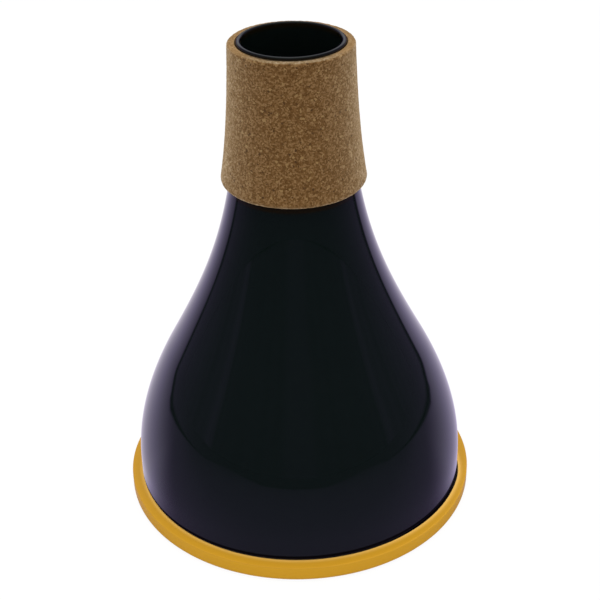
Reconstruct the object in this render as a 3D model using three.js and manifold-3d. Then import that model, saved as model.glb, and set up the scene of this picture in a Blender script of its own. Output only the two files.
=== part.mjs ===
// Practice mute for a trumpet. A moulded shell in the shape of a bell carries a cork sleeve on its neck.
// A coloured cap closes the wide end. It holds the vent tube, the foam and the plate that keeps the foam down.
// Millimetres, +Z up. The origin is on the axis, on the face that the mute stands on.

import * as THREE from 'three';
import { mergeVertices } from 'three/addons/utils/BufferGeometryUtils.js';
import Module from 'manifold-3d';

const wasm = await Module();
wasm.setup();

// Whole mute
const overallHeight = 121;
const fitGap = 0.3;

// Bell shell: a straight foot, a convex shoulder, the steepest place, then a long hollow curve to the neck
const footRadius = 42.3;
const footStraight = 4.6;
const footWall = 2;
const footEdgeRound = 0.4;
const footLeadIn = 0.5;
const steepRadius = 32.45;
const steepRise = 36.6;
const steepAngle = THREE.MathUtils.degToRad(28.5);
const neckRadius = 12.55;
const neckAngle = THREE.MathUtils.degToRad(1.7);
const lipWall = 1.05;
const shoulderHandleShares = [0.34, 0.32];
const neckHandleShares = [0.32, 0.49];

// Cork sleeve on the neck
const corkLength = 33.7;
const corkWall = 1.85;
const corkBelowLip = 0.55;
const corkFootRound = 1;
const corkTopRound = 0.6;

// Base cap
const flangeRadius = 45;
const flangeHeight = 4;
const flangeEdgeRound = 0.9;
const standRingWidth = 6.5;
const recessDepth = 1.4;
const recessDraft = 0.5;
const spigotHeight = 8;
const spigotWall = 2;
const spigotChamfer = 0.6;
const centringRibCount = 12;
const centringRibWidth = 1.6;
const centringRibStand = 0.3;
const centringRibLead = 1.5;
const floorRibCount = 6;
const floorRibWidth = 1.6;
const floorRibHeight = 2;
const bossWall = 3.3;

// Seal between the cap and the foot
const sealThickness = 0.4;
const sealSetBack = 0.35;

// Vent tube and its bush
const ventBoreRadius = 1.9;
const ventTubeWall = 1.1;
const ventTubeLength = 48;
const bushWall = 2.1;
const bushCollarWidth = 1.6;
const bushCollarHeight = 2.2;
const bushRound = 0.5;

// Plate over the foam, and the foam
const plateThickness = 1.6;
const plateChamfer = 0.4;
const plateEdgeGap = 0.6;
const plateHoleRadius = 2.6;
const plateHoleCounts = [6, 12];
const plateHoleRadiusShares = [0.3, 0.68];
const padSideGap = 0.5;
const padBulge = 0.3;

// Steps round the axis and along the curves
const shellSteps = 64;
const corkSteps = 56;
const capSteps = 64;
const sealSteps = 64;
const smallSteps = 32;
const padSteps = 40;
const holeSteps = 12;
const arcSteps = 3;
const outerRows = 24;
const innerRows = 14;
const corkRows = 7;
const tableRows = 240;
const cutOverrun = 0.4;

// Heights and radii that several pieces share
const footBottom = flangeHeight + sealThickness;
const spigotTop = flangeHeight + spigotHeight;
const plateTop = spigotTop + plateThickness;
const padBottom = flangeHeight + floorRibHeight;
const corkTop = overallHeight - corkBelowLip;
const corkBottom = corkTop - corkLength;
const lipRound = lipWall / 2;
const ventTubeRadius = ventBoreRadius + ventTubeWall;
const bushBoreRadius = ventTubeRadius + fitGap;
const bushRadius = bushBoreRadius + bushWall;
const bushCollarRadius = bushRadius + bushCollarWidth;
const bossBoreRadius = bushRadius + fitGap;
const bossRadius = bossBoreRadius + bossWall;

// Outer face of the bell as one path, from the foot's edge to the lip
function bellPath() {
  const shoulder = new THREE.Vector2(footRadius, footBottom + footStraight);
  const steep = new THREE.Vector2(steepRadius, footBottom + steepRise);
  const neck = new THREE.Vector2(neckRadius, overallHeight - lipRound);
  const lowRise = steep.y - shoulder.y;
  const highRise = neck.y - steep.y;
  const steepStep = new THREE.Vector2(-Math.tan(steepAngle), 1);
  const neckStep = new THREE.Vector2(-Math.tan(neckAngle), 1);
  const leaveShoulder = shoulder.clone().setY(shoulder.y + lowRise * shoulderHandleShares[0]);
  const reachSteep = steep.clone().addScaledVector(steepStep, -lowRise * shoulderHandleShares[1]);
  const leaveSteep = steep.clone().addScaledVector(steepStep, highRise * neckHandleShares[0]);
  const reachNeck = neck.clone().addScaledVector(neckStep, -highRise * neckHandleShares[1]);
  const path = new THREE.CurvePath();
  path.add(new THREE.LineCurve(new THREE.Vector2(footRadius, footBottom), shoulder));
  path.add(new THREE.CubicBezierCurve(shoulder, leaveShoulder, reachSteep, steep));
  path.add(new THREE.CubicBezierCurve(steep, leaveSteep, reachNeck, neck));
  return path;
}

const bell = bellPath();

// Wall of the shell, thick at the foot and thin at the lip as the mould's draft leaves it
function wallAt(height) {
  const share = (height - footBottom) / (overallHeight - footBottom);
  return footWall + (lipWall - footWall) * share;
}

// A point on the bell at a share of its length, moved out along its normal
function bellPoint(share, offsetAt) {
  const point = bell.getPointAt(share);
  const tangent = bell.getTangentAt(share);
  return new THREE.Vector2(tangent.y, -tangent.x).multiplyScalar(offsetAt(point.y)).add(point);
}

// Radius of the bell, moved out along its normal, at a height
function bellRadiusAt(height, offsetAt) {
  let low = bellPoint(0, offsetAt);
  for (let i = 1; i <= tableRows; i += 1) {
    const high = bellPoint(i / tableRows, offsetAt);
    if (high.y >= height) {
      return THREE.MathUtils.mapLinear(height, low.y, high.y, low.x, high.x);
    }
    low = high;
  }
  return low.x;
}

const inward = (height) => -wallAt(height);
const innerRadiusAt = (height) => bellRadiusAt(height, inward);

const spigotRadius = innerRadiusAt(spigotTop) - centringRibStand - fitGap;
const spigotInnerRadius = spigotRadius - spigotWall;
const plateRadius = innerRadiusAt(plateTop) - plateEdgeGap;

// Points of a round corner, from one angle to another about its centre
function corner(radius, height, round, from, to) {
  const points = [];
  for (let i = 0; i <= arcSteps; i += 1) {
    const angle = from + ((to - from) * i) / arcSteps;
    points.push(new THREE.Vector2(radius + round * Math.cos(angle), height + round * Math.sin(angle)));
  }
  return points;
}

const EAST = 0;
const NORTH = Math.PI / 2;
const WEST = Math.PI;
const SOUTH = -Math.PI / 2;

// Points of a tube's round end, from its outer face over the crest to its bore
function roundLip(radius, height, round) {
  return [
    ...corner(radius, height, round, EAST, NORTH),
    ...corner(radius, height, round, NORTH, WEST).slice(1),
  ];
}

// A closed outline of radius and height, turned once round the axis
function revolve(outline, steps) {
  const closed = [...outline, outline[0].clone()];
  return new THREE.LatheGeometry(closed, steps).rotateX(Math.PI / 2);
}

// A closed three.js geometry as a solid that can be joined and cut
function toSolid(geometry) {
  const bare = geometry.clone();
  bare.deleteAttribute('normal');
  bare.deleteAttribute('uv');
  const merged = mergeVertices(bare);
  return new wasm.Manifold(new wasm.Mesh({
    numProp: 3,
    vertProperties: new Float32Array(merged.attributes.position.array),
    triVerts: new Uint32Array(merged.index.array),
  }));
}

// The solid back as a geometry with flat facets
function toGeometry(solid) {
  const mesh = solid.getMesh();
  const geometry = new THREE.BufferGeometry();
  geometry.setAttribute('position', new THREE.BufferAttribute(mesh.vertProperties, 3));
  geometry.setIndex(new THREE.BufferAttribute(mesh.triVerts, 1));
  const faceted = geometry.toNonIndexed();
  faceted.computeVertexNormals();
  return faceted;
}

// Bell shell: the outer curve, a round lip and the inner curve back down to a bevelled mouth at the foot
function bodyShell() {
  const edge = corner(footRadius - footEdgeRound, footBottom + footEdgeRound, footEdgeRound, SOUTH, EAST);
  const outer = [];
  for (let i = 1; i <= outerRows; i += 1) {
    outer.push(bellPoint(i / outerRows, () => 0));
  }
  const top = outer.pop();
  const lip = roundLip(top.x - lipRound, top.y, lipRound);
  const inner = [];
  for (let i = innerRows - 1; i > 0; i -= 1) {
    inner.push(bellPoint(i / innerRows, inward));
  }
  const mouth = innerRadiusAt(footBottom + footLeadIn);
  const rim = [
    new THREE.Vector2(mouth, footBottom + footLeadIn),
    new THREE.Vector2(mouth + footLeadIn, footBottom),
  ];
  return revolve([...edge, ...outer, ...lip, ...inner, ...rim], shellSteps);
}

// Cork sleeve: an even wall that follows the neck, with softened outer edges
function corkSleeve() {
  const bore = () => fitGap;
  const face = () => fitGap + corkWall;
  const outline = [new THREE.Vector2(bellRadiusAt(corkBottom, bore), corkBottom)];
  const foot = bellRadiusAt(corkBottom, face);
  const crown = bellRadiusAt(corkTop, face);
  outline.push(...corner(foot - corkFootRound, corkBottom + corkFootRound, corkFootRound, SOUTH, EAST));
  const low = corkBottom + corkFootRound;
  const high = corkTop - corkTopRound;
  for (let i = 1; i < corkRows; i += 1) {
    const height = THREE.MathUtils.lerp(low, high, i / corkRows);
    outline.push(new THREE.Vector2(bellRadiusAt(height, face), height));
  }
  outline.push(...corner(crown - corkTopRound, high, corkTopRound, EAST, NORTH));
  for (let i = corkRows; i > 0; i -= 1) {
    const height = THREE.MathUtils.lerp(corkBottom, corkTop, i / corkRows);
    outline.push(new THREE.Vector2(bellRadiusAt(height, bore), height));
  }
  return revolve(outline, corkSteps);
}

// The cap turned in one piece: flange, recessed underside, vent hole, boss and spigot
function capBlank() {
  const standInner = flangeRadius - flangeEdgeRound - standRingWidth;
  const outline = [
    new THREE.Vector2(ventBoreRadius, recessDepth),
    new THREE.Vector2(standInner - recessDraft, recessDepth),
    new THREE.Vector2(standInner, 0),
    ...corner(flangeRadius - flangeEdgeRound, flangeEdgeRound, flangeEdgeRound, SOUTH, EAST),
    ...corner(flangeRadius - flangeEdgeRound, flangeHeight - flangeEdgeRound, flangeEdgeRound, EAST, NORTH),
    new THREE.Vector2(spigotRadius, flangeHeight),
    new THREE.Vector2(spigotRadius, spigotTop - spigotChamfer),
    new THREE.Vector2(spigotRadius - spigotChamfer, spigotTop),
    new THREE.Vector2(spigotInnerRadius, spigotTop),
    new THREE.Vector2(spigotInnerRadius, flangeHeight),
    new THREE.Vector2(bossRadius, flangeHeight),
    new THREE.Vector2(bossRadius, spigotTop),
    new THREE.Vector2(bossBoreRadius, spigotTop),
    new THREE.Vector2(bossBoreRadius, flangeHeight),
    new THREE.Vector2(ventBoreRadius, flangeHeight),
  ];
  return revolve(outline, capSteps);
}

// A centring rib on the outside of the spigot, drawn in radius and height, with a sloped lead at its top
function centringRib() {
  const root = spigotRadius - spigotWall / 2;
  const face = spigotRadius + centringRibStand;
  const shape = new THREE.Shape();
  shape.moveTo(root, flangeHeight - cutOverrun);
  shape.lineTo(face, flangeHeight - cutOverrun);
  shape.lineTo(face, spigotTop - centringRibLead);
  shape.lineTo(spigotRadius - spigotChamfer, spigotTop - spigotChamfer);
  shape.lineTo(root, spigotTop - spigotChamfer);
  shape.closePath();
  const rib = new THREE.ExtrudeGeometry(shape, { depth: centringRibWidth, bevelEnabled: false });
  return rib.translate(0, 0, -centringRibWidth / 2).rotateX(Math.PI / 2);
}

// A rib on the cap's floor, from the boss to the spigot
function floorRib() {
  const start = bossRadius - cutOverrun;
  const end = spigotInnerRadius + cutOverrun;
  const rib = new THREE.BoxGeometry(end - start, floorRibWidth, floorRibHeight + cutOverrun);
  return rib.translate((start + end) / 2, 0, flangeHeight + (floorRibHeight - cutOverrun) / 2);
}

// Base cap: the turned blank with both sets of ribs
function baseCap() {
  let solid = toSolid(capBlank());
  for (let i = 0; i < centringRibCount; i += 1) {
    solid = solid.add(toSolid(centringRib().rotateZ((2 * Math.PI * i) / centringRibCount)));
  }
  for (let i = 0; i < floorRibCount; i += 1) {
    solid = solid.add(toSolid(floorRib().rotateZ((2 * Math.PI * (i + 0.5)) / floorRibCount)));
  }
  return toGeometry(solid);
}

// Seal: a flat ring between the flange and the foot, set back from both
function baseSeal() {
  const outer = footRadius - sealSetBack;
  const inner = spigotRadius + centringRibStand + fitGap;
  return revolve([
    new THREE.Vector2(inner, flangeHeight),
    new THREE.Vector2(outer, flangeHeight),
    new THREE.Vector2(outer, footBottom),
    new THREE.Vector2(inner, footBottom),
  ], sealSteps);
}

// Vent tube: it stands on the cap's floor and ends in a round lip inside the bell
function ventTube() {
  const round = ventTubeWall / 2;
  const top = flangeHeight + ventTubeLength;
  return revolve([
    new THREE.Vector2(ventBoreRadius, flangeHeight),
    new THREE.Vector2(ventTubeRadius, flangeHeight),
    ...roundLip(ventTubeRadius - round, top - round, round),
  ], smallSteps);
}

// Bush: a sleeve round the tube inside the boss, with a collar on the boss's top
function tubeBush() {
  const top = spigotTop + bushCollarHeight;
  return revolve([
    new THREE.Vector2(bushBoreRadius, flangeHeight),
    new THREE.Vector2(bushRadius, flangeHeight),
    new THREE.Vector2(bushRadius, spigotTop),
    new THREE.Vector2(bushCollarRadius, spigotTop),
    ...corner(bushCollarRadius - bushRound, top - bushRound, bushRound, EAST, NORTH),
    new THREE.Vector2(bushBoreRadius, top),
  ], smallSteps);
}

// Plate over the foam: a turned disc that rests on the boss and the spigot, with rows of holes between them
function retainerPlate() {
  const eyeRadius = bushCollarRadius + fitGap;
  let solid = toSolid(revolve([
    new THREE.Vector2(eyeRadius, spigotTop),
    new THREE.Vector2(plateRadius, spigotTop),
    new THREE.Vector2(plateRadius, plateTop - plateChamfer),
    new THREE.Vector2(plateRadius - plateChamfer, plateTop),
    new THREE.Vector2(eyeRadius, plateTop),
  ], capSteps));
  const depth = plateThickness + 2 * cutOverrun;
  plateHoleCounts.forEach((count, row) => {
    const rowRadius = THREE.MathUtils.lerp(bossRadius, spigotInnerRadius, plateHoleRadiusShares[row]);
    for (let i = 0; i < count; i += 1) {
      const drill = new THREE.CylinderGeometry(plateHoleRadius, plateHoleRadius, depth, holeSteps);
      drill.rotateX(Math.PI / 2).translate(rowRadius, 0, (spigotTop + plateTop) / 2);
      solid = solid.subtract(toSolid(drill.rotateZ((2 * Math.PI * i) / count)));
    }
  });
  return toGeometry(solid);
}

// Foam ring between the ribs and the plate, its cut sides swelling a little
function dampingPad() {
  const inner = bossRadius + padSideGap;
  const outer = spigotInnerRadius - padSideGap;
  const middle = (padBottom + spigotTop) / 2;
  return revolve([
    new THREE.Vector2(inner, padBottom),
    new THREE.Vector2(outer - padBulge, padBottom),
    new THREE.Vector2(outer, middle),
    new THREE.Vector2(outer - padBulge, spigotTop),
    new THREE.Vector2(inner, spigotTop),
  ], padSteps);
}

// One named piece with its finish
function piece(name, geometry, color, roughness) {
  const material = new THREE.MeshStandardMaterial({ color, roughness, metalness: 0 });
  const mesh = new THREE.Mesh(geometry, material);
  mesh.name = name;
  return mesh;
}

const group = new THREE.Group();
group.add(piece('body_shell', bodyShell(), 0x101418, 0.12));
group.add(piece('cork_sleeve', corkSleeve(), 0x8a6745, 0.9));
group.add(piece('base_cap', baseCap(), 0xc69328, 0.4));
group.add(piece('base_seal', baseSeal(), 0x1c1a1a, 0.7));
group.add(piece('vent_tube', ventTube(), 0x202124, 0.35));
group.add(piece('tube_bush', tubeBush(), 0x262423, 0.8));
group.add(piece('retainer_plate', retainerPlate(), 0x2a2b2e, 0.5));
group.add(piece('damping_pad', dampingPad(), 0x3a3a3c, 0.95));

export default group;
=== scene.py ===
"""A practice mute for a trumpet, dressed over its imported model. Metres, +Z up, standing on its cap."""

import math
import bmesh
import bpy
from mathutils import Matrix, Vector, noise
from mathutils.geometry import interpolate_bezier


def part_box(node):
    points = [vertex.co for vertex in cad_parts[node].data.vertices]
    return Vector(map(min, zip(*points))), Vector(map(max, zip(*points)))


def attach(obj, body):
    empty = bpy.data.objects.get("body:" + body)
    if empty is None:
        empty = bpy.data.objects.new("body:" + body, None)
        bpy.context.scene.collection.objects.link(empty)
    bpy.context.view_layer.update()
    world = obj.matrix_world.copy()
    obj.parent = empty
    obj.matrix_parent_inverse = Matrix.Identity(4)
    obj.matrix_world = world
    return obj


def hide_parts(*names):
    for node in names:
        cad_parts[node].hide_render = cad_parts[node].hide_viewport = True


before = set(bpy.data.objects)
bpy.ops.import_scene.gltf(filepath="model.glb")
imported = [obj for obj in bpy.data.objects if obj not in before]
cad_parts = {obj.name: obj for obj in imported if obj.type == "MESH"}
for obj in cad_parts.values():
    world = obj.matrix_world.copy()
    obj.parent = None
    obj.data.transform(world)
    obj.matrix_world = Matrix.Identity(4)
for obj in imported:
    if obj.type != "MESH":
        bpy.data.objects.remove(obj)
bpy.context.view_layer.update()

# Base cap. The amber end that the mute stands on, moulded in one piece in coloured ABS with a satin face.
# Its spigot is glued into the bell's foot. Its flange has a painted shadow by the seal, wider on the
# right, then painted light and painted shade outwards. The boss in the cap's middle holds the vent tube.
cap_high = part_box("base_cap")[1]
flange_radius = cap_high.x
flange_height = 0.004
flange_round = 0.0009
flange_top_round = 0.0003
foot_radius = 0.0423
seal_set_back = 0.00035
seal_radius = foot_radius - seal_set_back
stand_ring_width = 0.0065
recess_depth = 0.0014
recess_draft = 0.0005
spigot_top = cap_high.z
spigot_radius = 0.03959
spigot_wall = 0.002
spigot_chamfer = 0.0006
inner_round = 0.0003
boss_radius = 0.009
boss_bore_radius = 0.0057
vent_radius = 0.0019
vent_hole_round = 0.0004
guide_rib_count = 12
guide_rib_width = 0.0016
guide_rib_stand = 0.0003
guide_rib_lead = 0.0015
floor_rib_count = 6
floor_rib_width = 0.0016
floor_rib_height = 0.002
rib_root = 0.0004
wide_steps = 192
arc_steps = 6
sharp_angle = 50
amber = (0.538, 0.278, 0.0082, 1.0)
amber_deep = (0.524, 0.266, 0.0072, 1.0)
amber_flows_per_metre = 60.0
amber_wear_per_metre = 900.0
amber_satin_per_metre = 4200.0
amber_satin_depth = 0.000006
# The flange's top from the seal's edge out, by share: painted shadow, a painted pale line, painted light,
# the amber, painted shade.
ledge_painted_light = (
    (0.0, (0.004, 0.002, 0.002, 1.0)),
    (0.02, (0.900, 0.540, 0.130, 1.0)),
    (0.12, (0.880, 0.510, 0.100, 1.0)),
    (0.28, (0.660, 0.350, 0.046, 1.0)),
    (0.42, (0.565, 0.290, 0.021, 1.0)),
    (0.56, (0.550, 0.281, 0.018, 1.0)),
    (0.9, (0.525, 0.267, 0.016, 1.0)),
    (1.0, (0.460, 0.235, 0.013, 1.0)),
)
# How far under the flange's top these colours start, and are full.
ledge_fade = (1.3 * flange_top_round, 0.5 * flange_top_round)
# The share by which the painted shadow widens on the right, and the places behind the axis, in foot radii,
# between which that grows to full.
shadow_line_widening = 0.31
shadow_line_widening_fade = (0.08, -0.3)

# The ways that the rounds of an outline face, as angles.
EAST, NORTH, WEST, SOUTH = 0.0, math.pi / 2, math.pi, -math.pi / 2


def arc(radius, height, round_radius, start, end, steps=arc_steps):
    """Points of a rounded corner about its centre, from one angle to another."""
    angles = [start + (end - start) * step / steps for step in range(steps + 1)]
    return [(radius + round_radius * math.cos(a), height + round_radius * math.sin(a)) for a in angles]


def turn(outline, steps=wide_steps):
    """A closed outline of radius and height, spun once round the axis."""
    shape = bmesh.new()
    ring = [shape.verts.new((radius, 0.0, height)) for radius, height in outline]
    for near, far in zip(ring, ring[1:] + ring[:1]):
        shape.edges.new((near, far))
    bmesh.ops.spin(
        shape, geom=shape.verts[:] + shape.edges[:], cent=(0, 0, 0), axis=(0, 0, 1), dvec=(0, 0, 0),
        angle=2 * math.pi, steps=steps, use_merge=True,
    )
    bmesh.ops.recalc_face_normals(shape, faces=shape.faces)
    return shape


def piece_from(name, shape, sharp_from=sharp_angle):
    """A finished mesh as a piece, smooth all over but for the edges sharper than an angle in degrees."""
    mesh = bpy.data.meshes.new(name)
    shape.to_mesh(mesh)
    shape.free()
    mesh.shade_smooth()
    mesh.set_sharp_from_angle(angle=math.radians(sharp_from))
    piece = bpy.data.objects.new(name, mesh)
    bpy.context.scene.collection.objects.link(piece)
    return piece


def bar(shape, low, high, turned=0.0):
    """A square bar between two corners, swung round the axis."""
    size = high - low
    middle = Matrix.Translation((low + high) / 2)
    swing = Matrix.Rotation(turned, 4, "Z")
    bmesh.ops.create_cube(shape, size=1.0, matrix=swing @ middle @ Matrix.Diagonal((*size, 1)))


def join_or_cut(piece, shape, operation):
    """Join a second shape to a piece, or cut it out of the piece."""
    tool = piece_from("tool", shape)
    change = piece.modifiers.new("change", "BOOLEAN")
    change.operation = operation
    change.solver = "EXACT"
    change.object = tool
    changed = piece.evaluated_get(bpy.context.evaluated_depsgraph_get())
    mesh = bpy.data.meshes.new_from_object(changed)
    piece.modifiers.clear()
    piece.data = mesh
    mesh.name = piece.name
    bpy.data.objects.remove(tool)


class Wire:
    """A value in a node tree. Sums, differences, products and quotients of wires add Math nodes."""

    def __init__(self, nodes, socket):
        self.nodes = nodes
        self.socket = socket

    def __add__(self, other):
        return self.nodes.maths("ADD", self, other)

    def __sub__(self, other):
        return self.nodes.maths("SUBTRACT", self, other)

    def __rsub__(self, other):
        return self.nodes.maths("SUBTRACT", other, self)

    def __mul__(self, other):
        return self.nodes.maths("MULTIPLY", self, other)

    def __truediv__(self, other):
        return self.nodes.maths("DIVIDE", self, other)

    __radd__ = __add__
    __rmul__ = __mul__


class Nodes:
    """The node tree of a finish, or of the studio's light."""

    def __init__(self, owner):
        owner.use_nodes = True
        self.tree = owner.node_tree
        self.tree.nodes.clear()

    def add(self, kind, settings, values, output=0):
        """One node: its type, its settings and its sockets' values or wires. The wire is of one output."""
        node = self.tree.nodes.new("ShaderNode" + kind)
        for name, value in settings.items():
            if name == "stops":
                self.set_stops(node.color_ramp.elements, value)
            else:
                setattr(node, name, value)
        for name, value in values.items():
            if isinstance(value, Wire):
                self.tree.links.new(value.socket, node.inputs[name])
            else:
                node.inputs[name].default_value = value
        return Wire(self, node.outputs[output])

    def set_stops(self, marks, stops):
        """The places and colours of a ramp. A new ramp has two marks, and the rest are added."""
        for count, (position, colour) in enumerate(stops):
            mark = marks[count] if count < len(marks) else marks.new(position)
            mark.position = position
            mark.color = colour

    def maths(self, operation, *terms):
        """One Math node."""
        return self.add("Math", {"operation": operation}, dict(enumerate(terms)))

    def step(self, value, low, high):
        """A smooth step from 0 to 1 as a value goes from one place to another."""
        settings = {"interpolation_type": "SMOOTHSTEP"}
        return self.add("MapRange", settings, {0: value, 1: low, 2: high})

    def blend(self, share, first, second):
        """Two colours mixed by a share."""
        return self.add("Mix", {"data_type": "RGBA"}, {0: share, 6: first, 7: second}, 2)

    def place(self, stretch=(1.0, 1.0, 1.0)):
        """The place on the piece, in metres, stretched along its axes."""
        spot = self.add("TexCoord", {}, {}, "Object")
        return self.add("Mapping", {}, {"Vector": spot, "Scale": stretch})

    def along(self, spot, axis):
        """How far a place lies along an axis."""
        return self.add("SeparateXYZ", {}, {"Vector": spot}, axis)

    def from_axis(self):
        """How far the place on the piece lies from the mute's axis."""
        flat = self.place((1.0, 1.0, 0.0))
        return self.add("VectorMath", {"operation": "LENGTH"}, {0: flat}, "Value")

    def clouds(self, spot, per_metre, detail=2.0):
        """Soft clouds from 0 to 1, with so many to a metre."""
        return self.add("TexNoise", {}, {"Vector": spot, "Scale": per_metre, "Detail": detail})

    def bumps(self, height, depth):
        """A Bump node for a height from 0 to 1 that stands for a depth in metres."""
        return self.add("Bump", {}, {"Strength": 1.0, "Distance": depth, "Height": height}, "Normal")

    def surface(self, values):
        """The finish as one shader."""
        self.add_output(self.add("BsdfPrincipled", {}, values), "OutputMaterial")

    def add_output(self, shader, kind):
        """The tree's last node."""
        output = self.tree.nodes.new("ShaderNode" + kind)
        self.tree.links.new(shader.socket, output.inputs["Surface"])


stand_inner = flange_radius - flange_round - stand_ring_width
ledge_radius = flange_radius - flange_top_round
spigot_inner = spigot_radius - spigot_wall
cap_shape = turn([
    *arc(vent_radius + vent_hole_round, recess_depth + vent_hole_round, vent_hole_round, WEST, 3 * NORTH),
    (stand_inner - recess_draft, recess_depth),
    *arc(stand_inner + inner_round, inner_round, inner_round, WEST, 3 * NORTH),
    *arc(flange_radius - flange_round, flange_round, flange_round, SOUTH, EAST),
    *arc(ledge_radius, flange_height - flange_top_round, flange_top_round, EAST, NORTH),
    (seal_radius, flange_height),
    (spigot_radius, flange_height),
    (spigot_radius, spigot_top - spigot_chamfer),
    (spigot_radius - spigot_chamfer, spigot_top),
    (spigot_inner, spigot_top),
    (spigot_inner, flange_height),
    (boss_radius, flange_height),
    (boss_radius, spigot_top),
    (boss_bore_radius, spigot_top),
    (boss_bore_radius, flange_height),
    (vent_radius, flange_height),
])
cap = piece_from("amber_cap", cap_shape)

ribs = bmesh.new()
for count in range(floor_rib_count):
    bar(
        ribs,
        Vector((boss_radius - rib_root, -floor_rib_width / 2, flange_height - rib_root)),
        Vector((spigot_inner + rib_root, floor_rib_width / 2, flange_height + floor_rib_height)),
        2 * math.pi * (count + 0.5) / floor_rib_count,
    )
for count in range(guide_rib_count):
    bar(
        ribs,
        Vector((spigot_radius - rib_root, -guide_rib_width / 2, flange_height - rib_root)),
        Vector((spigot_radius + guide_rib_stand, guide_rib_width / 2, spigot_top - guide_rib_lead)),
        2 * math.pi * count / guide_rib_count,
    )
join_or_cut(cap, ribs, "UNION")

amber_satin = bpy.data.materials.new("amber_satin")
finish = Nodes(amber_satin)
spot = finish.place()
aside = finish.maths("MAXIMUM", finish.along(spot, "X") / foot_radius, 0.0)
behind = finish.along(spot, "Y") / foot_radius
height = finish.along(spot, "Z")
# Painted light on the flange's top: a painted shadow by the seal, widening on the right, a painted pale
# line, painted light near the bell and painted shade at the outer edge.
out = (finish.from_axis() - seal_radius) / (flange_radius - seal_radius)
out = out - shadow_line_widening * aside * aside * finish.step(behind, *shadow_line_widening_fade)
ledge_painted_tone = finish.add("ValToRGB", {"stops": ledge_painted_light}, {"Fac": out})
ledge = finish.step(height, flange_height - ledge_fade[0], flange_height - ledge_fade[1])
flowed = finish.blend(finish.clouds(spot, amber_flows_per_metre), amber, amber_deep)
finish.surface({
    "Base Color": finish.blend(ledge, flowed, ledge_painted_tone),
    "Roughness": 0.42 + 0.08 * finish.clouds(spot, amber_wear_per_metre),
    "Specular IOR Level": 0.16,
    "Normal": finish.bumps(finish.clouds(spot, amber_satin_per_metre, 1.0), amber_satin_depth),
})
cap.data.materials.append(amber_satin)
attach(cap, "root")
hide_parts("base_cap")
cap.visible_glossy = False

# Tube bush. A soft black rubber sleeve, moulded with a collar, pressed into the cap's boss.
# It grips the vent tube, seals round it and keeps it from buzzing.
bush_low, bush_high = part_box("tube_bush")
bush_bore_radius = 0.0033
bush_radius = 0.0054
bush_round = 0.0005
bush_edge_round = 0.00025
narrow_steps = 96
rubber_black = (0.011, 0.010, 0.010, 1.0)
rubber_dusty = (0.019, 0.018, 0.017, 1.0)
rubber_dust_per_metre = 700.0
rubber_grain_per_metre = 5000.0
rubber_grain_depth = 0.00001

bush = piece_from("tube_grip", turn([
    (bush_bore_radius, bush_low.z),
    *arc(bush_radius - bush_edge_round, bush_low.z + bush_edge_round, bush_edge_round, SOUTH, EAST),
    (bush_radius, spigot_top),
    *arc(bush_high.x - bush_edge_round, spigot_top + bush_edge_round, bush_edge_round, SOUTH, EAST),
    *arc(bush_high.x - bush_round, bush_high.z - bush_round, bush_round, EAST, NORTH),
    *arc(bush_bore_radius + bush_edge_round, bush_high.z - bush_edge_round, bush_edge_round, NORTH, WEST),
], narrow_steps))

moulded_rubber = bpy.data.materials.new("moulded_rubber")
finish = Nodes(moulded_rubber)
spot = finish.place()
dust = finish.clouds(spot, rubber_dust_per_metre, 4.0)
finish.surface({
    "Base Color": finish.blend(dust, rubber_black, rubber_dusty),
    "Roughness": 0.62 + 0.2 * dust,
    "Normal": finish.bumps(finish.clouds(spot, rubber_grain_per_metre), rubber_grain_depth),
})
bush.data.materials.append(moulded_rubber)
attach(bush, "root")
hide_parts("tube_bush")

# Vent tube. A length of small-bore black plastic tube that lets the air out through the cap. It is
# extruded, cut to length, rounded at its free end and pushed down through the bush to the cap's floor.
tube_low, tube_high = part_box("vent_tube")
tube_radius = tube_high.x
tube_round = (tube_radius - vent_radius) / 2
tube_black = (0.012, 0.012, 0.013, 1.0)
tube_drawn = (0.018, 0.018, 0.020, 1.0)
draw_lines_per_metre = 4000.0
draw_line_stretch = (1.0, 1.0, 0.01)
draw_line_depth = 0.000008

tube = piece_from("vent_pipe", turn([
    (vent_radius, tube_low.z),
    (tube_radius, tube_low.z),
    *arc(tube_radius - tube_round, tube_high.z - tube_round, tube_round, EAST, WEST, 2 * arc_steps),
], narrow_steps))

drawn_tube = bpy.data.materials.new("drawn_tube")
finish = Nodes(drawn_tube)
lines = finish.clouds(finish.place(draw_line_stretch), draw_lines_per_metre)
finish.surface({
    "Base Color": finish.blend(lines, tube_black, tube_drawn),
    "Roughness": 0.28 + 0.15 * lines,
    "Normal": finish.bumps(lines, draw_line_depth),
})
tube.data.materials.append(drawn_tube)
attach(tube, "root")
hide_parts("vent_tube")

# Damping ring. Open-cell charcoal foam, cut from sheet, lying on the cap's ribs under the plate.
# It sags a little between the ribs and swells a little into the plate's holes.
foam_low, foam_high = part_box("damping_pad")
foam_gap = 0.0005
foam_inner = boss_radius + foam_gap
foam_outer = foam_high.x
foam_bulge = 0.0004
foam_ease = foam_bulge / 4
foam_face_depth = foam_bulge / 2
foam_sag = 0.0006
foam_swell = 0.0005
foam_rows = 40
foam_steps = 240
foam_dark = (0.008, 0.008, 0.009, 1.0)
foam_pale = (0.045, 0.045, 0.048, 1.0)
foam_cells_per_metre = 1500.0
foam_cell_wall = (0.25, 0.6)
foam_cell_depth = 0.0003
plate_hole_radius = 0.0026
plate_hole_rows = ((6, 0.01760), (12, 0.02848))


def hole_centres():
    """The middle of each hole of the plate."""
    for count, row_radius in plate_hole_rows:
        for hole in range(count):
            yield Matrix.Rotation(2 * math.pi * hole / count, 3, "Z") @ Vector((row_radius, 0, 0))


def grains(nodes, spot, per_metre, feature="F1", output="Color"):
    """Grains, with so many to a metre: a random colour each, or the distance inside each."""
    return nodes.add("TexVoronoi", {"feature": feature}, {"Vector": spot, "Scale": per_metre}, output)


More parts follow.
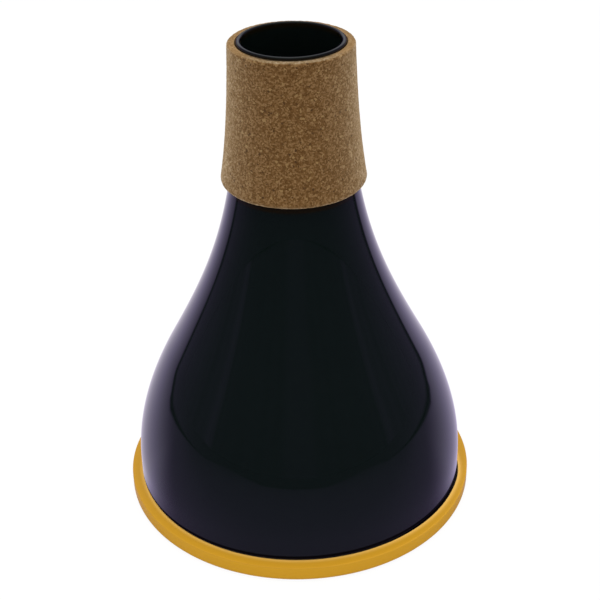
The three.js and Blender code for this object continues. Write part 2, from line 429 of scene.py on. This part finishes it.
foam_mid = (foam_low.z + foam_high.z) / 2
foam_run = foam_outer - foam_bulge - foam_inner
across = [foam_inner + foam_run * row / foam_rows for row in range(foam_rows + 1)]
foam_shape = turn([
    *[(radius, foam_low.z) for radius in across],
    (foam_outer - foam_ease, (foam_low.z + foam_mid) / 2),
    (foam_outer, foam_mid),
    (foam_outer - foam_ease, (foam_high.z + foam_mid) / 2),
    *[(radius, foam_high.z) for radius in reversed(across)],
    (foam_inner + foam_ease, foam_mid),
], foam_steps)
holes = list(hole_centres())
for vert in foam_shape.verts:
    flat = vert.co.xy.to_3d()
    if vert.co.z > foam_high.z - foam_face_depth:
        depth = min((flat - hole).length for hole in holes) / plate_hole_radius
        vert.co.z += foam_swell * max(0.0, 1.0 - depth * depth)
    elif vert.co.z < foam_low.z + foam_face_depth:
        turns = math.atan2(flat.y, flat.x) / (2 * math.pi) * floor_rib_count
        vert.co.z -= foam_sag * math.cos(math.pi * turns) ** 2
bmesh.ops.recalc_face_normals(foam_shape, faces=foam_shape.faces)
foam = piece_from("foam_ring", foam_shape)

open_foam = bpy.data.materials.new("open_foam")
finish = Nodes(open_foam)
cells = grains(finish, finish.place(), foam_cells_per_metre, "F1", "Distance")
pores = finish.step(cells, *foam_cell_wall)
finish.surface({
    "Base Color": finish.blend(pores, foam_dark, foam_pale),
    "Roughness": 0.85 + 0.1 * pores,
    "Sheen Weight": 0.2,
    "Normal": finish.bumps(pores, foam_cell_depth),
})
foam.data.materials.append(open_foam)
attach(foam, "root")
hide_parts("damping_pad")

# Retainer plate. A disc of matt black plastic that rests on the boss and the spigot and keeps the foam
# down. It is moulded flat, with two rows of round holes that let the sound through to the foam.
plate_low, plate_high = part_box("retainer_plate")
plate_middle = (plate_low.z + plate_high.z) / 2
plate_radius = plate_high.x
plate_round = 0.0004
plate_eye_radius = 0.0073
drill_length = 3 * (plate_high.z - plate_low.z)
drill_steps = 40
plate_dark = (0.017, 0.018, 0.020, 1.0)
plate_pale = (0.025, 0.026, 0.028, 1.0)
plate_grain_per_metre = 3000.0
plate_grain_depth = 0.00002

plate = piece_from("sound_plate", turn([
    *arc(plate_eye_radius + plate_round, plate_low.z + plate_round, plate_round, WEST, 3 * NORTH),
    *arc(plate_radius - plate_round, plate_low.z + plate_round, plate_round, SOUTH, EAST),
    *arc(plate_radius - plate_round, plate_high.z - plate_round, plate_round, EAST, NORTH),
    *arc(plate_eye_radius + plate_round, plate_high.z - plate_round, plate_round, NORTH, WEST),
]))
drills = bmesh.new()
for centre in hole_centres():
    bmesh.ops.create_cone(
        drills, cap_ends=True, segments=drill_steps, radius1=plate_hole_radius, radius2=plate_hole_radius,
        depth=drill_length, matrix=Matrix.Translation(centre + Vector((0, 0, plate_middle))),
    )
join_or_cut(plate, drills, "DIFFERENCE")

matt_plate = bpy.data.materials.new("matt_plate")
finish = Nodes(matt_plate)
texture = finish.clouds(finish.place(), plate_grain_per_metre, 3.0)
finish.surface({
    "Base Color": finish.blend(texture, plate_dark, plate_pale),
    "Roughness": 0.45 + 0.15 * texture,
    "Normal": finish.bumps(texture, plate_grain_depth),
})
plate.data.materials.append(matt_plate)
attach(plate, "root")
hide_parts("retainer_plate")

# Seal. A thin black rubber ring laid on the flange round the spigot, with its edge set back under the
# foot. It shows as the dark line between the amber cap and the bell.
seal_low, seal_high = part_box("base_seal")
seal_gap = 0.0006
seal_inner = spigot_radius + seal_gap
seal_round = (seal_high.z - seal_low.z) / 2

seal = piece_from("foot_seal", turn([
    (seal_inner, seal_low.z),
    *arc(seal_high.x - seal_round, seal_low.z + seal_round, seal_round, SOUTH, NORTH),
    (seal_inner, seal_high.z),
]))
seal.data.materials.append(moulded_rubber)
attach(seal, "root")
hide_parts("base_seal")

# Bell. The mute's body, one even-walled moulding in polished black ABS, from the wide foot to the neck's
# round lip. The foot slips over the cap's spigot and is glued, with the seal pinched under its edge. A
# dull black band at that edge, deeper on the right, is painted shade. The neck is dark brown round the
# cork's foot, and has painted shade just above the cork's top.
bell_low, bell_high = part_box("body_shell")
cork_low, cork_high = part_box("cork_sleeve")
foot_straight = 0.0046
foot_wall = 0.002
foot_edge_round = 0.0004
foot_lead_in = 0.0005
steep_radius = 0.03262
steep_rise = 0.0366
steep_angle = math.radians(28.5)
neck_radius = 0.01255
neck_angle = math.radians(1.7)
lip_wall = 0.00105
lip_steps = 16
shoulder_handle_shares = (0.34, 0.32)
neck_handle_shares = (0.32, 0.49)
shoulder_rows = 34
neck_rows = 72
bell_steps = 224
shell_black = (0.0025, 0.0047, 0.0042, 1.0)
shell_rubbed = (0.0031, 0.0056, 0.0051, 1.0)
rub_per_metre = 380.0
ripple_per_metre = 160.0
ripple_depth = 0.000004
shade_band_black = (0.0022, 0.0018, 0.0018, 1.0)
shade_band_height = 0.0010
shade_band_fade = 0.0001
shade_band_lean = 0.0001
band_brown = (0.0062, 0.0043, 0.0014, 1.0)
cork_foot_drop = 0.00025
cork_foot = cork_low.z - cork_foot_drop
# How far from each end of the cork the neck's dark brown band starts and is full, outside and inside.
# At the cork's top that band is painted shade.
foot_band_outside = (-0.0020, -0.0014)
foot_band_inside = (0.003, 0.0)
top_shade_outside = (0.0005, 0.0001)
top_shade_inside = (-0.001, -0.0005)

lip_round = lip_wall / 2
shoulder = Vector((foot_radius, bell_low.z + foot_straight))
steep = Vector((steep_radius, bell_low.z + steep_rise))
neck = Vector((neck_radius, bell_high.z - lip_round))
low_rise = steep.y - shoulder.y
high_rise = neck.y - steep.y
steep_step = Vector((-math.tan(steep_angle), 1))
neck_step = Vector((-math.tan(neck_angle), 1))
shoulder_curve = interpolate_bezier(
    shoulder, shoulder + Vector((0, low_rise * shoulder_handle_shares[0])),
    steep - steep_step * low_rise * shoulder_handle_shares[1], steep, shoulder_rows,
)
neck_curve = interpolate_bezier(
    steep, steep + steep_step * high_rise * neck_handle_shares[0],
    neck - neck_step * high_rise * neck_handle_shares[1], neck, neck_rows,
)
bell_line = [point.to_2d() for point in shoulder_curve + neck_curve[1:]]


def moved_off(line, distance_at):
    """A line of radius and height, moved out square to itself by a distance that may vary with height."""
    moved = []
    for place, point in enumerate(line):
        along = (line[min(place + 1, len(line) - 1)] - line[max(place - 1, 0)]).normalized()
        moved.append(point + Vector((along.y, -along.x)) * distance_at(point.y))
    return moved


def wall_at(height):
    """The bell's wall, thinner towards the lip as the mould's draft leaves it."""
    share = (height - bell_low.z) / (bell_high.z - bell_low.z)
    return foot_wall + (lip_wall - foot_wall) * share


bell_inside = moved_off(bell_line, lambda height: -wall_at(height))
foot_inner = bell_inside[0].x
bell = piece_from("bell_moulding", turn([
    *arc(foot_radius - foot_edge_round, bell_low.z + foot_edge_round, foot_edge_round, SOUTH, EAST),
    (foot_radius, bell_low.z + 2 * foot_edge_round),
    *[tuple(point) for point in bell_line[:-1]],
    *arc(neck.x - lip_round, neck.y, lip_round, EAST, WEST, lip_steps),
    *[tuple(point) for point in reversed(bell_inside[:-1])],
    (foot_inner, bell_low.z + foot_lead_in),
    (foot_inner + foot_lead_in, bell_low.z),
], bell_steps))

polished_black = bpy.data.materials.new("polished_black")
finish = Nodes(polished_black)
spot = finish.place()
height = finish.along(spot, "Z")
rub = finish.clouds(spot, rub_per_metre, 5.0)
ripple = finish.clouds(spot, ripple_per_metre, 1.0)


def band_at_cork_end(end, outside, inside):
    """The dark brown band on the neck round one end of the cork, from 0 to 1; at the cork's top, painted
    shade.
    """
    from_outside = finish.step(height, end + outside[0], end + outside[1])
    from_inside = finish.step(height, end + inside[0], end + inside[1])
    return from_outside * from_inside


# A dark brown band on the neck round the cork's foot, and painted shade on the neck just above the cork's
# top.
dark_neck_band = band_at_cork_end(cork_foot, foot_band_outside, foot_band_inside)
dark_neck_band = dark_neck_band + band_at_cork_end(cork_high.z, top_shade_outside, top_shade_inside)
polished = finish.add("BsdfPrincipled", {}, {
    "Base Color": finish.blend(dark_neck_band, finish.blend(rub, shell_black, shell_rubbed), band_brown),
    "Roughness": 0.018 + 0.02 * rub,
    "IOR": 1.5,
    "Normal": finish.bumps(ripple, ripple_depth),
})
# Painted shade: a dull black band at the foot, deeper on the right, that also keeps the cap's reflection
# out.
shade_band_finish = finish.add("BsdfPrincipled", {}, {
    "Base Color": shade_band_black, "Roughness": 0.6, "Specular IOR Level": 0.05,
})
aside = finish.along(spot, "X") / foot_radius
leaning = shade_band_lean * (aside + finish.maths("MAXIMUM", aside, 0.0))
shade_band_top = bell_low.z + shade_band_height
above_foot = finish.step(height - leaning, shade_band_top - shade_band_fade, shade_band_top + shade_band_fade)
shell = finish.add("MixShader", {}, {0: above_foot, 1: shade_band_finish, 2: polished})
finish.add_output(shell, "OutputMaterial")
bell.data.materials.append(polished_black)
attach(bell, "root")
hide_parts("body_shell")

# Cork sleeve. Fine agglomerated cork, ground to a taper and glued round the bell's neck. Its cut top face
# is paler, with painted shade on its inner edge at the front, and its side is painted paler towards its
# outline as a sheen. Its friction in the throat of the trumpet's bell is all that holds the mute.
cork_gap = 0.0003
cork_wall = 0.0018
cork_foot_round = 0.001
cork_top_round = 0.0006
cork_row = 0.0003
cork_bore_row = 0.002
cork_steps = 320
cork_sharp_angle = 80
cork_grooves_per_metre = 1100
cork_groove_depth = 0.00006
cork_groove_share = 0.28
cork_swells_per_metre = 240
cork_swell_depth = 0.00005
cork_crumbs_per_metre = 2900.0
cork_crumb_share = 0.55
cork_lumps_per_metre = 900.0
cork_lump_share = 0.11
cork_clouds_per_metre = 4500.0
cork_cloud_share = 0.34
cork_specks_per_metre = 2100.0
cork_crumb_edge = 0.12
cork_crumb_stand = 0.6
cork_pits_per_metre = 6000.0
cork_pit_stand = 0.4
cork_grain_depth = 0.00006
# The colours of the cork's side, from its dark grains to its pale ones.
cork_tones = (
    (0.15, (0.067, 0.028, 0.004, 1.0)),
    (0.5, (0.122, 0.058, 0.016, 1.0)),
    (0.85, (0.228, 0.134, 0.056, 1.0)),
)
dark_speck = (0.060, 0.027, 0.008, 1.0)
dark_speck_share = (0.02, 0.01)
pale_speck = (0.225, 0.135, 0.052, 1.0)
pale_speck_share = (0.955, 0.975)
cut_cork = (0.188, 0.106, 0.039, 1.0)
cut_share = 0.3
cut_lift = 0.76
# How far under the cork's top its cut tone starts, and is full.
cut_edge = (0.00022, 0.0001)
# Where the front of the cut starts and is full, behind the axis. It is greyer there.
front_of_cut = (-0.006, -0.014)
plain_tint = (1.0, 1.0, 1.0, 1.0)
front_tint = (0.96, 1.12, 1.48, 1.0)
front_edge_shade = (0.012, 0.007, 0.002, 1.0)
front_edge_shade_reach = (0.00055, 0.0002)
sheen_lift = 0.78
sheen_lift_tint = (1.46, 1.68, 2.18)
sheen_tint = (0.80, 0.60, 0.37, 1.0)
sheen_gain = 1.5


def radius_at(line, height):
    """The radius of a rising line at a height."""
    for near, far in zip(line, line[1:]):
        if far.y >= height:
            return near.x + (far.x - near.x) * (height - near.y) / (far.y - near.y)
    return line[-1].x


def evenly(start, end, step):
    """Places from a start to an end, without the end, about a step apart."""
    count = max(1, round(abs(end - start) / step))
    return [start + (end - start) * place / count for place in range(count)]


cork_bore = moved_off(bell_line, lambda height: cork_gap)
cork_face = moved_off(bell_line, lambda height: cork_gap + cork_wall)
foot_face = radius_at(cork_face, cork_foot + cork_foot_round)
crown_face = radius_at(cork_face, cork_high.z - cork_top_round)
foot_bore = radius_at(cork_bore, cork_foot)
crown_bore = radius_at(cork_bore, cork_high.z)
side_rows = evenly(cork_foot + cork_foot_round, cork_high.z - cork_top_round, cork_row)
bore_rows = evenly(cork_high.z, cork_foot, cork_bore_row)
cork_shape = turn([
    *[(radius, cork_foot) for radius in evenly(foot_bore, foot_face - cork_foot_round, cork_row)],
    *arc(foot_face - cork_foot_round, cork_foot + cork_foot_round, cork_foot_round, SOUTH, EAST),
    *[(radius_at(cork_face, height), height) for height in side_rows[1:]],
    *arc(crown_face - cork_top_round, cork_high.z - cork_top_round, cork_top_round, EAST, NORTH),
    *[(radius, cork_high.z) for radius in evenly(crown_face - cork_top_round, crown_bore, cork_row)[1:]],
    *[(radius_at(cork_bore, height), height) for height in bore_rows[:-1]],
], cork_steps)


def cork_relief(spot):
    """How far a point of the cork's face lies under the ground surface, in grooves and soft swells."""
    distances = noise.voronoi(spot * cork_grooves_per_metre)[0]
    groove = max(0.0, 1.0 - (distances[1] - distances[0]) / cork_groove_share)
    swell = 0.5 + 0.5 * noise.noise(spot * cork_swells_per_metre)
    return cork_groove_depth * groove + cork_swell_depth * swell


for vert in cork_shape.verts:
    reach = vert.co.xy.length - radius_at(cork_bore, vert.co.z)
    if reach > cork_row:
        vert.co -= vert.normal * cork_relief(vert.co)
cork = piece_from("cork_wrap", cork_shape, cork_sharp_angle)

ground_cork = bpy.data.materials.new("ground_cork")
finish = Nodes(ground_cork)
spot = finish.place()


def grain_share(per_metre):
    """A number from 0 to 1 for each grain, with so many to a metre."""
    return finish.add("SeparateColor", {}, {"Color": grains(finish, spot, per_metre)}, "Red")


def tinted(colour, tint):
    """A colour times a tint."""
    return finish.add("VectorMath", {"operation": "MULTIPLY"}, {0: colour, 1: tint})


def lifted(colour, power):
    """A colour with its dark tones lifted by a power under 1."""
    return finish.add("Gamma", {}, {"Color": colour, "Gamma": power})


crumbs = grain_share(cork_crumbs_per_metre)
specks = grain_share(cork_specks_per_metre)
tone = cork_crumb_share * crumbs + cork_lump_share * grain_share(cork_lumps_per_metre)
tone = tone + cork_cloud_share * finish.clouds(spot, cork_clouds_per_metre, 3.0)
side = finish.add("ValToRGB", {"stops": cork_tones}, {"Fac": tone})
side = finish.blend(finish.step(specks, *dark_speck_share), side, dark_speck)
side = finish.blend(finish.step(specks, *pale_speck_share), side, pale_speck)
front = finish.step(finish.along(spot, "Y"), *front_of_cut)
top_face = finish.blend(cut_share, lifted(side, cut_lift), cut_cork)
top_face = tinted(top_face, finish.blend(front, plain_tint, front_tint))
# Painted shade on the top face's inner edge, at the front only.
edge = finish.step(finish.from_axis() - crown_bore, *front_edge_shade_reach)
top_face = finish.blend(front * edge, top_face, front_edge_shade)
height = finish.along(spot, "Z")
cut = finish.step(height, cork_high.z - cut_edge[0], cork_high.z - cut_edge[1])
from_edge = grains(finish, spot, cork_crumbs_per_metre, "DISTANCE_TO_EDGE", "Distance")
raised = cork_crumb_stand * finish.step(from_edge, 0.0, cork_crumb_edge)
raised = raised + cork_pit_stand * finish.clouds(spot, cork_pits_per_metre)
grain = finish.bumps(raised, cork_grain_depth)


def dry_cork(colour):
    """Cork in a colour, dry and matt."""
    return finish.add("BsdfPrincipled", {}, {
        "Base Color": colour,
        "Roughness": 0.8 + 0.15 * crumbs,
        "Specular IOR Level": 0.12,
        "Normal": grain,
        "Sheen Weight": 0.15,
        "Sheen Roughness": 0.5,
        "Sheen Tint": sheen_tint,
    })


# Painted sheen: seen edge-on, the cork's side blends into a lifted, paler copy of its colour.
faced = finish.add("LayerWeight", {}, {"Blend": 0.5}, "Facing")
sheen = finish.maths("MINIMUM", sheen_gain * (faced * faced), 1.0) * (1.0 - cut)
plain = dry_cork(finish.blend(cut, side, top_face))
painted_sheen_cork = dry_cork(tinted(lifted(side, sheen_lift), sheen_lift_tint))
finish.add_output(finish.add("MixShader", {}, {0: sheen, 1: plain, 2: painted_sheen_cork}), "OutputMaterial")
cork.data.materials.append(ground_cork)
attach(cork, "root")
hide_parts("cork_sleeve")

# Studio table. A wide sheet of plain white paper under the mute. The camera, the gloss and any glass see
# it as white, with the mute's soft shadow.
sheet_half = 3.0
sheet_thick = 0.002
sheet_white = (0.85, 0.85, 0.85, 1.0)
pure_white = (1.0, 1.0, 1.0, 1.0)
shadow_share = 0.08

sheet_shape = bmesh.new()
bar(sheet_shape, Vector((-sheet_half, -sheet_half, -sheet_thick)), Vector((sheet_half, sheet_half, 0.0)))
sheet = piece_from("paper_sheet", sheet_shape)


def rays_that_see(light):
    """1 for the rays that see the background: those from the camera, and those in gloss and glass."""
    camera, gloss, glass = [
        light.add("LightPath", {}, {}, kind)
        for kind in ("Is Camera Ray", "Is Glossy Ray", "Is Transmission Ray")
    ]
    return camera + gloss + glass


white_paper = bpy.data.materials.new("white_paper")
light = Nodes(white_paper)
seen = (1.0 - shadow_share) * rays_that_see(light)
shaded = light.add("BsdfDiffuse", {}, {"Color": sheet_white})
white = light.add("Emission", {}, {"Color": pure_white, "Strength": 1.0})
light.add_output(light.add("MixShader", {}, {0: seen, 1: shaded, 2: white}), "OutputMaterial")
white_paper.cycles.emission_sampling = "NONE"
sheet.data.materials.append(white_paper)

# Studio room. Soft even light from all round, as inside a tent of white cloth.
# Wherever the camera, the gloss or any glass sees it, it is white.
room_strength = 0.95

room = bpy.data.worlds.new("studio_room")
bpy.context.scene.world = room
light = Nodes(room)
strength = room_strength + (1.0 - room_strength) * rays_that_see(light)
light.add_output(light.add("Background", {}, {"Color": pure_white, "Strength": strength}), "OutputWorld")

# Studio films. Smoked films that shade the white table and room in the gloss alone, as flags do for a
# photographer. The one on the table is clearest in a wedge behind the mute, and its clear part ends all
# round in a thin dark line. The one hung round as a tent has folds, and is clearest above and behind.
film_height = 0.0001
tent_radius = 2.9
tent_segments = 64
tent_rings = 32
white_tint = (1.01, 0.95, 1.045, 1.0)
bright_tint = (0.94, 0.81, 1.30, 1.0)
dim_tint = (0.92, 0.67, 1.42, 1.0)
dim_to_bright = (0.1, 0.55)
bright_to_white = (0.6, 1.0)
# Where the clear part of the table's film ends, in metres, by the turn from the front in degrees.
lit_edge_by_turn = (
    (0, 0.297), (20, 0.300), (34, 0.415), (44, 0.560), (53, 0.430), (61, 0.323), (70, 0.305), (95, 0.226),
    (104, 0.205), (110, 0.230), (112, 0.262), (117, 0.305), (119, 0.327), (121, 0.368), (123, 0.388),
    (180, 0.420),
)
lit_edge_fade = 0.012
film_off_left = 0.02
film_lean = 0.15
film_lean_from = 0.05
side_turn = (60 / 180, 110 / 180)
rear_turn = (40 / 180, 140 / 180)
# How clear the films are, as shares: in front of the mute, behind it, in the wedge, and in the shade.
clear_in_front = 0.145
clear_behind = 0.055
clear_behind_from = (-0.08, -0.015)
clear_in_wedge = 0.73
wedge_off_left = 0.008
wedge_lead = 0.03
wedge_spread = 0.285
wedge_least = 0.0001
clear_near = 1.15
clear_fall_per_metre = 2.2
clear_in_shade = 0.035
clear_in_rear_shade = 0.09
side_glow = 0.09
side_glow_reach = 0.25
line_half_share = 0.022
line_side_share = 0.13
line_darkness = 0.9
# The tent's clear places: each starts and is full at a height or a turn, as a share.
ceiling_rise = (0.85, 0.94)
ceiling_clear = 0.25
back_turn = (138 / 180, 155 / 180)
back_rise = (0.12, 0.38)
back_clear = 0.5
left_side = (0.0, -0.3)
strip_start = (0.345, 0.365)
strip_end = (0.425, 0.395)
strip_clear = 0.03
strip_left_clear = 0.012
front_turn = (0.09, 0.05)
front_clear = 0.012
fold_count = 36.0
fold_least = 0.6
fold_depth = 0.8


def hang_film(material, shape, light, tint, clear):
    """A film that only the gloss sees, as clear as a number from 0 to 1 and coloured by a tint."""
    film = piece_from(material.name, shape)
    light.add_output(light.add("BsdfTransparent", {}, {
        "Color": light.add("VectorMath", {"operation": "SCALE"}, {0: tint, "Scale": clear}),
    }), "OutputMaterial")
    film.data.materials.append(material)
    film.visible_camera = False
    film.visible_diffuse = False
    film.visible_transmission = False
    film.visible_shadow = False


def turn_from_front(light, across, behind):
    """The turn of a place round the axis, either way from the front, as a share of a half turn."""
    return light.maths("ABSOLUTE", light.maths("ARCTAN2", across, 0.0 - behind)) / math.pi


film_sheet = bmesh.new()
bmesh.ops.create_grid(
    film_sheet, x_segments=1, y_segments=1, size=sheet_half,
    matrix=Matrix.Translation((0.0, 0.0, film_height)),
)
table_film = bpy.data.materials.new("table_film")
light = Nodes(table_film)
where = light.add("TexCoord", {}, {}, "Object")
across = light.along(where, "X")
behind = light.along(where, "Y")
aside = across + film_off_left + film_lean * light.maths("MAXIMUM", behind - film_lean_from, 0.0)
far_off = light.maths("SQRT", aside * aside + behind * behind)
turned = turn_from_front(light, aside, behind)
to_side = light.step(turned, *side_turn)
lit_edge = light.add("ValToRGB", {"stops": [
    (degrees / 180, (radius, radius, radius, 1.0)) for degrees, radius in lit_edge_by_turn
]}, {"Fac": turned})
beyond = 1.0 - lit_edge / far_off

off_middle = across + wedge_off_left
spread = light.maths("MAXIMUM", wedge_spread * (behind + wedge_lead), wedge_least)
wedge = light.maths("EXPONENT", 0.0 - off_middle * off_middle / spread)
lit = clear_in_front + clear_in_wedge * wedge * light.step(behind, -wedge_lead, 0.0)
lit = lit + clear_behind * light.step(behind, *clear_behind_from)
fall = clear_near * light.maths("EXPONENT", -clear_fall_per_metre * far_off)
lit = lit * (1.0 + (1.0 - to_side) * (fall - 1.0))

unlit = clear_in_shade + clear_in_rear_shade * light.step(turned, *rear_turn)
past_edge = light.maths("MAXIMUM", beyond, 0.0) / side_glow_reach
unlit = unlit + side_glow * to_side * light.maths("EXPONENT", 0.0 - past_edge)
clear = lit + (unlit - lit) * light.step(beyond, -lit_edge_fade, lit_edge_fade)

line_half = line_half_share + line_side_share * to_side
from_line = (beyond - line_half) / line_half
clear = clear * (1.0 - line_darkness * light.maths("EXPONENT", 0.0 - from_line * from_line))
tint = light.blend(light.step(clear, *dim_to_bright), dim_tint, bright_tint)
tint = light.blend(light.step(clear, *bright_to_white), tint, white_tint)
hang_film(table_film, film_sheet, light, tint, clear)

tent_sheet = bmesh.new()
bmesh.ops.create_uvsphere(tent_sheet, u_segments=tent_segments, v_segments=tent_rings, radius=tent_radius)
tent_film = bpy.data.materials.new("tent_film")
light = Nodes(tent_film)
way = light.add("VectorMath", {"operation": "NORMALIZE"}, {0: light.add("TexCoord", {}, {}, "Object")})
across = light.along(way, "X")
rise = light.along(way, "Z")
turned = turn_from_front(light, across, light.along(way, "Y"))
ceiling = light.step(rise, *ceiling_rise)
back = light.step(turned, *back_turn) * light.step(rise, *back_rise)
strips = light.step(turned, *strip_start) * light.step(turned, *strip_end)
folds = light.add("TexNoise", {"noise_dimensions": "1D"}, {
    "W": turned, "Scale": fold_count, "Detail": 1.0,
})
dim = clear_in_shade + clear_in_rear_shade * light.step(turned, *rear_turn)
dim = dim * (fold_least + fold_depth * folds)
dim = dim + (strip_clear + strip_left_clear * light.step(across, *left_side)) * strips
dim = dim + front_clear * light.step(turned, *front_turn)
clear = light.maths("MINIMUM", dim + ceiling_clear * ceiling + back_clear * back, 1.0)
tint = light.blend(light.maths("MAXIMUM", ceiling, back), dim_tint, pure_white)
hang_film(tent_film, tent_sheet, light, tint, clear)

# Studio lamp. One broad soft box straight overhead, which lights the top faces of the cork and the cap.
# It is kept out of the gloss.
lamp_size = 0.7
lamp_power = 6.0
lamp_height = 0.9

lamp = bpy.data.lights.new("soft_box", "AREA")
lamp.shape = "SQUARE"
lamp.size = lamp_size
lamp.energy = lamp_power
soft_box = bpy.data.objects.new("soft_box", lamp)
soft_box.location = (0.0, 0.0, lamp_height)
soft_box.visible_camera = False
soft_box.visible_glossy = False
bpy.context.scene.collection.objects.link(soft_box)

# Camera. It stands in front of the mute and looks down on it, as the photographer did. Its place, its
# turns and its lens are those that the mute's outlines in the photograph fit.
camera_back = 0.280711
camera_height = 0.219414
camera_pitch = 0.536302
camera_yaw = -0.003148
camera_roll = -0.019276
focal_pixels = 1296.71
picture_pixels = 600
sensor_width = 36.0
nearest_seen = 0.01

lens = bpy.data.cameras.new("studio_camera")
lens.sensor_width = sensor_width
lens.lens = focal_pixels / picture_pixels * sensor_width
lens.clip_start = nearest_seen
camera = bpy.data.objects.new("studio_camera", lens)
stand = Matrix.Translation((0.0, -camera_back, camera_height))
aim = Matrix.Rotation(camera_yaw, 4, "Z") @ Matrix.Rotation(math.pi / 2 - camera_pitch, 4, "X")
camera.matrix_world = stand @ aim @ Matrix.Rotation(camera_roll, 4, "Z")
bpy.context.scene.collection.objects.link(camera)
bpy.context.scene.camera = camera
bpy.context.scene.view_settings.view_transform = "Standard"
